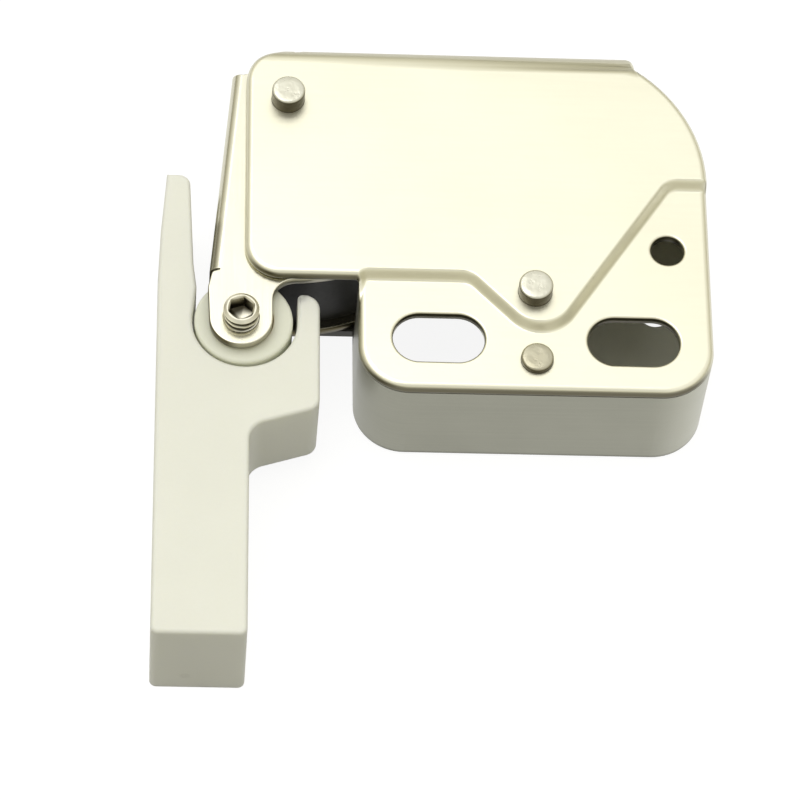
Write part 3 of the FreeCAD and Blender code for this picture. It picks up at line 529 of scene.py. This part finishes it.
def pressed(name, rim, holes, lines, form, sheet, finish, body, replaced, roll, turned_over=False):
    """A formed sheet from its flat outline, its holes with their rolls, and its folds' lines.

    The form says where flat points at a depth below the outer face end up. Rows of points follow
    the rim and the holes, spaced by shares of their rolls.
    """
    back_roll = 0.12
    rim_rows, hole_rows = (0.04, 0.14, 0.3, 0.55, 1.02, 1.3), (0.0, 0.06, 0.22, 0.5, 1.02, 1.6)
    loops = [(rim, True)]
    for share in rim_rows:
        line = shifted(rim, roll * share)
        clear = closed_distance(line, rim) > roll * share * 0.985
        loops.append(([p for p, k in zip(line, clear) if k], True))
    for hole, hole_roll in holes:
        for share in hole_rows:
            loops.append((shifted(hole, -hole_roll * share), True))
    loops += [(line, False) for line in lines]
    low, high = np.min(rim, axis=0), np.max(rim, axis=0)
    between = np.stack(np.meshgrid(
        np.arange(low[0] + 0.5, high[0], 1.3), np.arange(low[1] + 0.5, high[1], 1.3),
    ), -1).reshape(-1, 2)
    between = between[closed_distance(between, rim) > roll * 2]
    verts, edges = [Vector(p) for p in between], []
    for line, closed in loops:
        first = len(verts)
        verts += [Vector(p) for p in line]
        edges += [(first + k, first + k + 1) for k in range(len(line) - 1)]
        if closed:
            edges.append((len(verts) - 1, first))
    flat, _, triangles, *_ = delaunay_2d_cdt(verts, edges, [], 0, 1e-5)
    flat = np.array([tuple(p) for p in flat])
    centres = np.array([flat[list(t)].mean(0) for t in triangles])

    def inside(points):
        gap = closed_distance(points, rim)
        for hole, _ in holes:
            gap = np.minimum(gap, -closed_distance(points, hole))
        return gap

    keep = inside(centres) > 0
    triangles = [t for t, k in zip(triangles, keep) if k]
    used = sorted({i for t in triangles for i in t})
    number = {old: new for new, old in enumerate(used)}
    triangles = [tuple(number[i] for i in t) for t in triangles]
    flat = flat[used]

    def faces_at(points, front):
        """The formed front or rear face, and how near each point is to a rim, for painted rim shade."""
        outer = closed_distance(points, rim)
        rim_nearness = 1 - outer / (roll * 1.6)
        fall = roll_off(outer, roll if front else back_roll)
        for hole, hole_roll in holes:
            hole_gap = -closed_distance(points, hole)
            rim_nearness = np.maximum(rim_nearness, 1 - hole_gap / (hole_roll * 1.6))
            fall = np.maximum(fall, roll_off(hole_gap, hole_roll if front else back_roll))
        return form(points, fall if front else sheet - fall), np.clip(rim_nearness, 0, 1)

    def leaning(front):
        """The outward directions of one face, read a little inside its edges."""
        small = 0.004
        gap = inside(flat)
        lean = []
        for axis in ((small, 0), (0, small)):
            lean.append((inside(flat + axis) - inside(flat - np.array(axis))) / (2 * small))
        lean = np.stack(lean, 1)
        lean /= np.maximum(np.linalg.norm(lean, axis=1), 1e-6)[:, None]
        spot = flat + lean * np.clip(0.012 - gap, 0, 0.03)[:, None]
        du = faces_at(spot + (small, 0), front)[0] - faces_at(spot - np.array((small, 0)), front)[0]
        dv = faces_at(spot + (0, small), front)[0] - faces_at(spot - np.array((0, small)), front)[0]
        n = np.cross(du, dv)
        n /= np.maximum(np.linalg.norm(n, axis=1), 1e-12)[:, None]
        return n if front else -n

    front, rim_nearness = faces_at(flat, True)
    rear, _ = faces_at(flat, False)
    count = len(flat)
    seen = {}
    for t in triangles:
        for k in range(3):
            seen[(t[k], t[(k + 1) % 3])] = True
    faces = list(triangles) + [tuple(i + count for i in reversed(t)) for t in triangles]
    faces += [(b, a, a + count, b + count) for a, b in seen if (b, a) not in seen]
    normals = np.concatenate([leaning(True), leaning(False)])
    if turned_over:
        faces = [tuple(reversed(face)) for face in faces]
        normals = -normals
    points = np.concatenate([front, rear])
    thing = piece(name, points, faces, finish, body, replaced, normals)
    edge = thing.data.attributes.new("edge", "FLOAT", "POINT")
    edge.data.foreach_set("value", np.concatenate([rim_nearness, rim_nearness]).astype(np.float32))


arm_steel = metal("arm_steel")
place = arm_steel.place()
grain = arm_steel.streaks(place, (2600, 120, 2600), 4.0)
cloud = arm_steel.noise(place, 240.0, 3.0)
edge = arm_steel.node("ShaderNodeAttribute", {"attribute_name": "edge"}, out="Fac")
y, z = arm_steel.part_of(place, "Y"), arm_steel.part_of(place, "Z")
# Painted shade: the web's outer face is painted dark, most towards its foot, the far ear low down is
# painted dark, and so are the rims.
web_side = arm_steel.facing("X").span(-0.8, 0.0, 1.0, 0.0)
arm_painted_shade = web_side * y.span(10.6 * MM, 11.9 * MM, 0.78, 0.32) + z.span(2.0 * MM, 3.0 * MM, 0.75, 0.0)
arm_painted_shade = arm_painted_shade + edge.span(0.8, 0.98, 0.0, 0.6)
bright = arm_steel.mixed(cloud * 0.7 + grain * 0.3, (0.84, 0.81, 0.66, 1), (0.93, 0.91, 0.76, 1))
arm_steel.feed("Base Color", arm_steel.mixed(arm_painted_shade, bright, (0.12, 0.105, 0.06, 1)))
arm_steel.feed("Roughness", grain * 0.16 + 0.16 + edge * 0.1)
arm_steel.relief(0.2, 0.00003, grain + cloud * 2.0)

arm_sheet, arm_bend, lean = 0.9, 0.95, math.radians(5.02)
ear_top, ear_under = 11.2, 1.05
web_distance, near_sweep, far_sweep = 5.1, 17.7, 17.45
hub_radius, boss_radius, neck_fillet = 4.1, 2.7, 2.0
axle_place, axle_radius = (-0.25, 6.72), 1.52
dowel_places, dowel_radius = ((1.2, 14.6), (1.5, 19.2)), 0.8
web_out = Vector((-math.cos(lean), math.sin(lean)))
web_down = Vector((-math.sin(lean), -math.cos(lean)))
web_origin = Vector(arm_pivot) + web_out * web_distance
quarter = arm_bend * math.pi / 2
web_flat = ear_top - ear_under - 2 * arm_bend
far_fold = arm_bend - 2 * quarter - web_flat


def from_web(point):
    """Distance in from the web's outer face, and distance down along the web, of a drawn point."""
    d = Vector(point) - web_origin
    return (-d.dot(web_out), d.dot(web_down))


def on_far_ear(t):
    """The blank's place on the far ear that comes to lie under a place on the near ear."""
    return arm_bend + far_fold - t


def arm_form(flat, depth):
    """Folds the arm's blank: near ear, bend, web, bend, far ear."""
    t, s = flat[:, 0], flat[:, 1]
    turn = np.clip((arm_bend - t) / arm_bend, 0, math.pi / 2)
    drop = np.clip(arm_bend - quarter - t, 0, web_flat)
    far_turn = np.clip((arm_bend - quarter - web_flat - t) / arm_bend, 0, math.pi / 2)
    beyond = np.clip(far_fold - t, 0, None)
    r = arm_bend - depth
    near_in = np.where(t > arm_bend, t, arm_bend - r * np.sin(turn))
    near_z = ear_top - arm_bend + r * np.cos(turn)
    far_in = arm_bend - r * np.cos(far_turn) + beyond
    far_z = ear_under + arm_bend - r * np.sin(far_turn)
    inwards = np.where(far_turn > 0, far_in, near_in)
    z = np.where(far_turn > 0, far_z, near_z - drop)
    neck = (s > neck_line + 0.03) & (t <= arm_bend) & (t > arm_bend - 6)
    inwards = np.where(neck, t, inwards)
    z = np.where(neck, ear_top - depth, z)
    far_neck = (s > neck_line + 0.03) & (t > far_fold) & (t < far_fold + 6)
    inwards = np.where(far_neck, on_far_ear(t), inwards)
    z = np.where(far_neck, ear_under + depth, z)
    x = web_origin.x - inwards * web_out.x + s * web_down.x
    y = web_origin.y - inwards * web_out.y + s * web_down.y
    return np.stack([x, y, z], 1)


def ear_line(radius):
    """An ear's outline: web's top, round hub, sector of this radius, neck, and boss to the slit."""
    cx, cy = arm_pivot
    line = rounded([
        (*(Vector(arm_pivot) + Vector((-4.05, 3.0))), 0.0),
        (cx - 3.75, cy + 3.27, 0.3), (cx - 3.32, cy + 3.28, 0.3), (cx - 2.64, cy + 3.14, 0.0),
    ], closed=False)[1:]
    first, last = math.atan2(3.14, -2.64), math.radians(57.0)
    line += arc(arm_pivot, hub_radius, first, last - first, 24)
    reach = math.sqrt(radius ** 2 - hub_radius ** 2)
    outwards = Vector((math.cos(math.radians(-33)), math.sin(math.radians(-33))))
    tip = Vector(arm_pivot) + Vector((math.cos(last), math.sin(last))) * hub_radius + outwards * reach
    line.append(tuple(tip))
    low = cy - radius
    first, last = bearing(arm_pivot, tip), bearing(arm_pivot, (axle_place[0] + 4.7, low))
    line += arc(arm_pivot, radius, first, last - first, 40, first=1)
    fillet_centre = (axle_place[0] + boss_radius + neck_fillet, low - neck_fillet)
    line += arc(fillet_centre, neck_fillet, math.pi / 2, math.pi / 2, 8, first=1)
    return line + arc(axle_place, boss_radius, 0.0, -math.pi, 32)


neck_line = from_web((0.0, 11.3))[1]
web_top = from_web((0.0, 31.51))[1]
slit = arm_bend - 0.1
blank = [from_web(p) for p in ear_line(near_sweep)]
far_ear = [from_web(p) for p in ear_line(far_sweep)]
crossing = rounded([
    (*from_web((axle_place[0] - boss_radius, axle_place[1])), 0.0),
    (0.05, neck_line + 1.9, 1.5), (0.25, neck_line + 0.35, 0.4),
    (slit, neck_line + 0.08, 0.03), (slit, neck_line, 0.03), (0.5, neck_line, 0.0),
], closed=False)[1:]
blank += crossing
blank += [(on_far_ear(t), s) for t, s in reversed(crossing)]
blank += [(on_far_ear(t), s) for t, s in reversed(far_ear)]
blank += [(far_fold + 0.5, web_top), (0.0, web_top)]
if sum(a[0] * b[1] - b[0] * a[1] for a, b in zip(blank, blank[1:] + blank[:1])) < 0:
    blank.reverse()


def circle(centre, radius, sides):
    return [around(centre, radius, 2 * math.pi * k / sides) for k in range(sides)]


bores = []
for centre, radius in (
    (arm_pivot, 1.49), (axle_place, axle_radius),
    (dowel_places[0], dowel_radius), (dowel_places[1], dowel_radius),
):
    t, s = from_web(centre)
    bores += [(circle((t, s), radius, 48), 0.08), (circle((on_far_ear(t), s), radius, 48), 0.08)]
folds = []
for k in range(9):
    t = arm_bend - quarter * k / 8
    folds.append([(t, web_top - 1), (t, neck_line + 0.05)])
    folds.append([(on_far_ear(t), web_top - 1), (on_far_ear(t), neck_line + 0.05)])
pressed(
    "swing_arm_dressed", blank, bores, folds, arm_form, arm_sheet, arm_steel, "arm",
    ("swing_arm",), roll=0.12, turned_over=True,
)


# Roller axle: a hardened socket set screw, turned tight through both ears. Its upper end stands
# proud and shows the thread and the hexagon socket, with painted shade in both, darker on one side of the
# socket.
screw_steel = metal("screw_steel")
cloud = screw_steel.noise(screw_steel.place(), 700.0, 4.0)
# Painted shade in the thread's grooves and the socket, from a value given for each point.
groove = screw_steel.node("ShaderNodeAttribute", {"attribute_name": "groove"}, out="Fac")
bright = screw_steel.mixed(cloud, (0.62, 0.59, 0.47, 1), (0.92, 0.89, 0.75, 1))
screw_steel.feed("Base Color", screw_steel.mixed(
    groove.span(0.05, 0.8, 0.0, 0.97), bright, (0.035, 0.029, 0.015, 1),
))
screw_steel.feed("Roughness", cloud * 0.2 + 0.2)
screw_steel.relief(0.25, 0.00004, cloud)

axle_low, axle_top, axle_chamfer = 0.65, 12.7, 0.2
thread_pitch, thread_start, thread_depth = 0.72, 0.85, 0.22
sides, thread_rows = 96, 150
thread_low = axle_low + axle_chamfer
thread_length = axle_top - axle_chamfer - axle_low - axle_chamfer
points, faces, groove_shades = [], [], []
heights = [thread_low + thread_length * k / thread_rows for k in range(thread_rows + 1)]
for z in [axle_low] + heights + [axle_top]:
    for i in range(sides):
        if z in (axle_low, axle_top):
            r, shade_share = axle_radius - 0.25, 0.0
        else:
            phase = (z / thread_pitch + i / sides + thread_start) % 1.0
            cut = min(1.0, max(0.0, 1.6 - abs(phase - 0.5) / 0.26))
            shown = min(1.0, max(0.0, (z - ear_top) / 0.05), max(0.0, (axle_top - 0.3 - z) / 0.08))
            r, shade_share = axle_radius - thread_depth * cut * shown, min(1.0, cut * 1.4) * shown
        points.append((*around(axle_place, r, 2 * math.pi * i / sides), z))
        groove_shades.append(shade_share)


socket_turn = math.radians(18)


def hexagon(flats, z, round_share):
    """A ring of points on a hexagon with slightly rounded corners."""
    ring = []
    for i in range(sides):
        t = 2 * math.pi * i / sides
        local = (t - socket_turn) % (math.pi / 3) - math.pi / 6
        r = flats / 2 / math.cos(local)
        r = r * (1 - round_share) + flats / 2 * 1.04 * round_share
        ring.append((*around(axle_place, r, t), z))
    return ring


for flats, depth, round_share, shade_share in (
    (2.2, 0.0, 0.55, 0.0), (1.95, 0.13, 0.1, 0.35), (1.95, 1.5, 0.1, 0.95), (1.7, 1.6, 0.5, 0.8),
):
    points += hexagon(flats, axle_top - depth, round_share)
    for i in range(sides):
        # Painted shade: one side of the socket is painted darker than the other.
        turned_away = math.cos(2 * math.pi * (i / sides - 0.36))
        groove_shades.append(shade_share * (0.62 + 0.5 * turned_away))
rings = len(points) // sides
for i in range(rings - 1):
    for k in range(sides):
        m = (k + 1) % sides
        faces.append((i * sides + k, i * sides + m, (i + 1) * sides + m, (i + 1) * sides + k))
points.append((*axle_place, axle_top - 1.95))
groove_shades.append(0.1)
tip = len(points) - 1
for k in range(sides):
    faces.append(((rings - 1) * sides + k, (rings - 1) * sides + (k + 1) % sides, tip))
faces.append(tuple(reversed(range(sides))))
screw = piece(
    "roller_axle_dressed", points, faces, screw_steel, "arm", ("roller_axle",), crease=30,
)
screw.data.attributes.new("groove", "FLOAT", "POINT").data.foreach_set("value", groove_shades)


# Bush and roller: an eccentric brass bush over the set screw, and the white nylon roller that turns
# on it. Turning the bush sets the roller, which is moulded with plain sides and rounded rims.
bush_brass = metal("bush_brass")
cloud = bush_brass.noise(bush_brass.place(), 900.0, 4.0)
bush_brass.feed("Base Color", bush_brass.mixed(cloud, (0.50, 0.34, 0.12, 1), (0.72, 0.54, 0.24, 1)))
bush_brass.feed("Roughness", cloud * 0.25 + 0.2)
roller_centre = (0.0, 7.1)
bush_low, bush_high, bush_bore, bush_radius, broken = 1.95, 10.3, 1.57, 2.5, 0.05
rings = [[(*p, z) for p in circle(centre, r, sides)] for r, centre, z in (
    (bush_bore + broken, axle_place, bush_low), (bush_radius - broken, roller_centre, bush_low),
    (bush_radius, roller_centre, bush_low + broken), (bush_radius, roller_centre, bush_high - broken),
    (bush_radius - broken, roller_centre, bush_high), (bush_bore + broken, axle_place, bush_high),
    (bush_bore, axle_place, bush_high - broken), (bush_bore, axle_place, bush_low + broken),
)]
faces = []
for i in range(8):
    after = (i + 1) % 8
    for k in range(sides):
        m = (k + 1) % sides
        faces.append((i * sides + k, i * sides + m, after * sides + m, after * sides + k))
piece(
    "roller_bush_dressed", sum(rings, []), faces, bush_brass, "arm", ("roller_bush",),
)


def rgb(r, g, b):
    """A colour as read on a screen, 0 to 255, turned into light."""
    light = []
    for c in (r, g, b):
        c /= 255
        light.append(c / 12.92 if c <= 0.04045 else ((c + 0.055) / 1.055) ** 2.4)
    return (*light, 1.0)


def moulded(name, colour_a, colour_b, roughness, depth, gate=None):
    """A moulded plastic: a faint cloud in its colour, the mould's fine skin and the gate's scar."""
    finish = Finish(bpy.data.materials.new(name))
    place = finish.place()
    cloud = finish.noise(place, 130.0, 4.0)
    skin = finish.noise(place, 3200.0, 3.0)
    colour = finish.mixed(cloud * 0.7 + skin * 0.3, colour_a, colour_b)
    height = skin + cloud * 2.0
    if gate:
        reach = finish.node(
            "ShaderNodeVectorMath", {"operation": "DISTANCE"}, {0: place, 1: gate}, out="Value",
        )
        scar = reach.span(0.3 * MM, 0.56 * MM, 1.0, 0.0)
        colour = finish.mixed(scar * 0.12, colour, (0.36, 0.35, 0.28, 1))
        height = height + scar * 14.0
    finish.feed("Base Color", colour)
    finish.feed("Roughness", skin * 0.18 + roughness)
    finish.feed("Subsurface Weight", depth)
    finish.feed("Subsurface Radius", (1.0, 1.0, 0.85))
    finish.feed("Subsurface Scale", 0.0012)
    finish.relief(0.12, 0.00003, height)
    return finish


roller_white = moulded("roller_white", rgb(222, 223, 204), rgb(232, 233, 216), 0.38, 0.35)
roller_white.feed("Specular IOR Level", 0.45)
roller_low, roller_high, roller_bore, roller_radius = 2.2, 10.05, 2.55, 4.2
turned("roller_dressed", roller_centre, [
    (roller_bore, roller_low, 0.1), (roller_radius, roller_low, 0.3),
    (roller_radius, roller_high, 0.3), (roller_bore, roller_high, 0.1),
], roller_white, "roller", ("roller",), sides=128)


# Cam block: black moulded plastic between the ears, held by two steel dowels. The heart-shaped
# track for the pawl's follower is moulded in its deck.
block_black = moulded("block_black", (0.012, 0.012, 0.011, 1), (0.026, 0.025, 0.022, 1), 0.46, 0.0)
kept("cam_block", block_black, 0.12)
for index, centre in enumerate(dowel_places):
    turned("block_dowel_%d" % (index + 1), centre, [
        (0.0, ear_under, 0), (dowel_radius, ear_under, 0.14),
        (dowel_radius, ear_top, 0.14), (0.0, ear_top, 0),
    ], rivet_steel, "arm", ("block_dowels",), sides=64)


# Pawl: a flat steel lever on the pawl pin, blanked and tumbled. Its tip carries the riveted
# follower pin that runs in the track.
pawl_sheet, pawl_top, eye_radius, tip_radius = 1.0, 9.9, 2.6, 1.7
follower_place, follower_radius = (7.0, 16.0), 0.6


def pawl_form(flat, depth):
    return np.stack([flat[:, 0], flat[:, 1], pawl_top - depth], 1)


run = Vector(follower_place) - Vector(pawl_pivot)
towards = math.atan2(run.y, run.x)
leaves = math.acos((eye_radius - tip_radius) / run.length)
pawl_line = arc(pawl_pivot, eye_radius, towards + leaves, 2 * math.pi - 2 * leaves, 40)
pawl_line += arc(follower_place, tip_radius, towards - leaves, 2 * leaves, 30)
pawl_holes = [
    (circle(pawl_pivot, 1.51, 48), 0.08),
    (circle(follower_place, follower_radius, 48), 0.08),
]
pressed(
    "pawl_dressed", pawl_line, pawl_holes, [], pawl_form, pawl_sheet, arm_steel, "pawl",
    ("pawl",), roll=0.2,
)
turned("follower_pin_dressed", follower_place, [
    (0.0, 6.8, 0), (follower_radius, 6.8, 0.15), (follower_radius, pawl_top, 0.1), (0.0, pawl_top, 0),
], rivet_steel, "pawl", ("follower_pin",), sides=48)


# Cover: the bright front plate, 0.9 mm steel pressed up over the mechanism, pierced, folded down
# along its top and nickel plated to a satin shine. Its rims are rolled by the press, and the corner
# left of the folded flange is coined thin.
cover_nickel = metal("cover_nickel")
place = cover_nickel.place()
cloud = cover_nickel.noise(place, 70.0, 3.0)
mist = cover_nickel.noise(place, 1800.0, 4.0)
grain = cover_nickel.streaks(place, (140, 3200, 3200), 4.0)
edge = cover_nickel.node("ShaderNodeAttribute", {"attribute_name": "edge"}, out="Fac")
up_the_plate = cover_nickel.facing("Y")
fold_shade = up_the_plate.span(0.15, 0.7, 0.0, 0.7)
rim_shade = edge.span(0.72, 0.97) * up_the_plate.span(-0.8, -0.15, 0.92, 0.3)
bright = cover_nickel.mixed(cloud * 0.8 + grain * 0.2, (0.86, 0.83, 0.655, 1), (0.955, 0.935, 0.775, 1))
bright = cover_nickel.mixed(fold_shade, bright, (0.40, 0.38, 0.28, 1))
cover_nickel.feed("Base Color", cover_nickel.mixed(rim_shade, bright, (0.075, 0.065, 0.035, 1)))
cover_nickel.feed("Roughness", grain * 0.12 + mist * 0.08 + 0.25)
cover_nickel.relief(0.16, 0.00003, grain + mist * 0.6 + cloud * 3.0)

case_width, case_height, foot_left, shoulder_y = 40.0, 34.25, 9.73, 10.45
cover_sheet, plate_level, field_rise = 0.9, 11.35, 0.9
fold_radius = 2.0
fold_y, fold_z = case_height - fold_radius, plate_level + field_rise - fold_radius
fold_length = fold_radius * math.pi / 2
flange_start, flange_end, flange_foot = 4.3, 33.9, fold_y + fold_length + fold_z
coined_y = 33.88


def unfolded(point):
    """A drawn point of the plate laid out flat, past the start of the top fold."""
    x, y = point
    if y <= fold_y:
        return (x, y)
    return (x, fold_y + fold_radius * math.asin(min(1.0, (y - fold_y) / fold_radius)))


field_line = rounded([
    (-8.0, 9.0, 0), (9.35, 9.0, 0), (9.9, 11.1, 0.9), (19.33, 11.1, 2.2), (25.6, 4.55, 2.87),
    (36.52, 20.87, 1.8), (48.0, 20.87, 0), (48.0, 60.0, 0), (-8.0, 60.0, 0),
], step=4.0)


def cover_form(flat, depth):
    """Presses the field up, folds the flange down and coins the corner left of it."""
    step = closed_distance(flat, field_line)
    t = np.clip((step + 0.68) / 0.92, 0, 1)
    rise = field_rise * t * t * (3 - 2 * t)
    v = flat[:, 1]
    turn = np.clip((v - fold_y) / fold_radius, 0, math.pi / 2)
    down = np.clip(v - fold_y - fold_length, 0, None)
    coined = (flat[:, 0] < flange_start - 0.05) & (v > fold_y)
    r = np.where(coined, fold_radius, fold_radius - depth)
    y = np.where(v > fold_y, fold_y + r * np.sin(turn), v)
    z = np.where(v > fold_y, fold_z + r * np.cos(turn) - down, plate_level + rise - depth)
    thin = plate_level + 0.04 * (1 - depth / cover_sheet)
    z = np.where(coined, np.maximum(z - depth, thin), z)
    return np.stack([flat[:, 0], y, z], 1)


plate_line = [unfolded(p) for p in rounded([
    (foot_left, shoulder_y, 0), (foot_left, 0.0, 4.4), (case_width, 0.0, 4.5),
    (case_width, 28.29, 14.2), (34.1, 32.54, 0),
], closed=False, step=4.0)[1:]]
plate_line += rounded([
    (34.1, 32.54, 0), (flange_end, fold_y + fold_length, 0.5), (flange_end, flange_foot, 0.7),
    (flange_start, flange_foot, 0.7), (flange_start, unfolded((0, coined_y))[1], 0), (0.0, coined_y, 0),
], closed=False)[1:-1]
plate_line += [unfolded(p) for p in rounded([
    (flange_start, coined_y, 0), (0.0, coined_y, 3.6), (0.0, shoulder_y, 3.2),
    (foot_left, shoulder_y, 0.25), (foot_left, 0.0, 0),
], closed=False, step=4.0)[1:-1]]


def obround(centre, length, width):
    """The edge of a slot with round ends."""
    reach, r = length / 2 - width / 2, width / 2
    line = arc((centre[0] + reach, centre[1]), r, -math.pi / 2, math.pi, 24)
    line += arc((centre[0] - reach, centre[1]), r, -math.pi / 2, 2 * math.pi, 48, first=24)
    return line[:-1]


slot_length, slot_width = 7.84, 4.67
left_slot, right_slot, small_hole = (16.54, 5.02), (33.15, 5.02), (36.36, 14.23)
pierced_roll, pin_roll = 0.25, 0.03
cover_holes = [
    (obround(left_slot, slot_length, slot_width), pierced_roll),
    (obround(right_slot, slot_length, slot_width), pierced_roll),
    (circle(small_hole, 1.42, 60), pierced_roll),
    (circle(arm_pivot, arm_pin_radius, 60), pin_roll),
    (circle(pawl_pivot, pawl_pin_radius, 60), pin_roll),
    (circle(post_place, post_radius, 60), pin_roll),
]
cover_lines = []
for k in range(11):
    line = shifted(field_line, 0.24 - 0.092 * k)
    cover_lines.append([tuple(p) for p in line[:-2]])
for k in range(9):
    v = fold_y + fold_length * k / 8
    cover_lines.append([(-2.0, v), (42.0, v)])
cover_lines.append([(flange_start - 0.1, fold_y - 1.0), (flange_start - 0.1, fold_y + fold_length)])
pressed(
    "cover_dressed", plate_line, cover_holes, cover_lines, cover_form, cover_sheet, cover_nickel, "case",
    ("cover",), roll=0.6,
)


# Striker: one white moulding that is screwed to the door. The pale gloss of the mould stays on its
# faces, its edges are soft, and its end face keeps the small scar of the gate.
gate_place = tuple(on_frame((-4.4, -22.8, 2.05)))
striker_white = moulded("striker_white", rgb(227, 227, 215), rgb(237, 237, 226), 0.34, 0.35, gate_place)
striker_white.feed("Specular IOR Level", 0.45)
kept("striker", striker_white, 0.16)
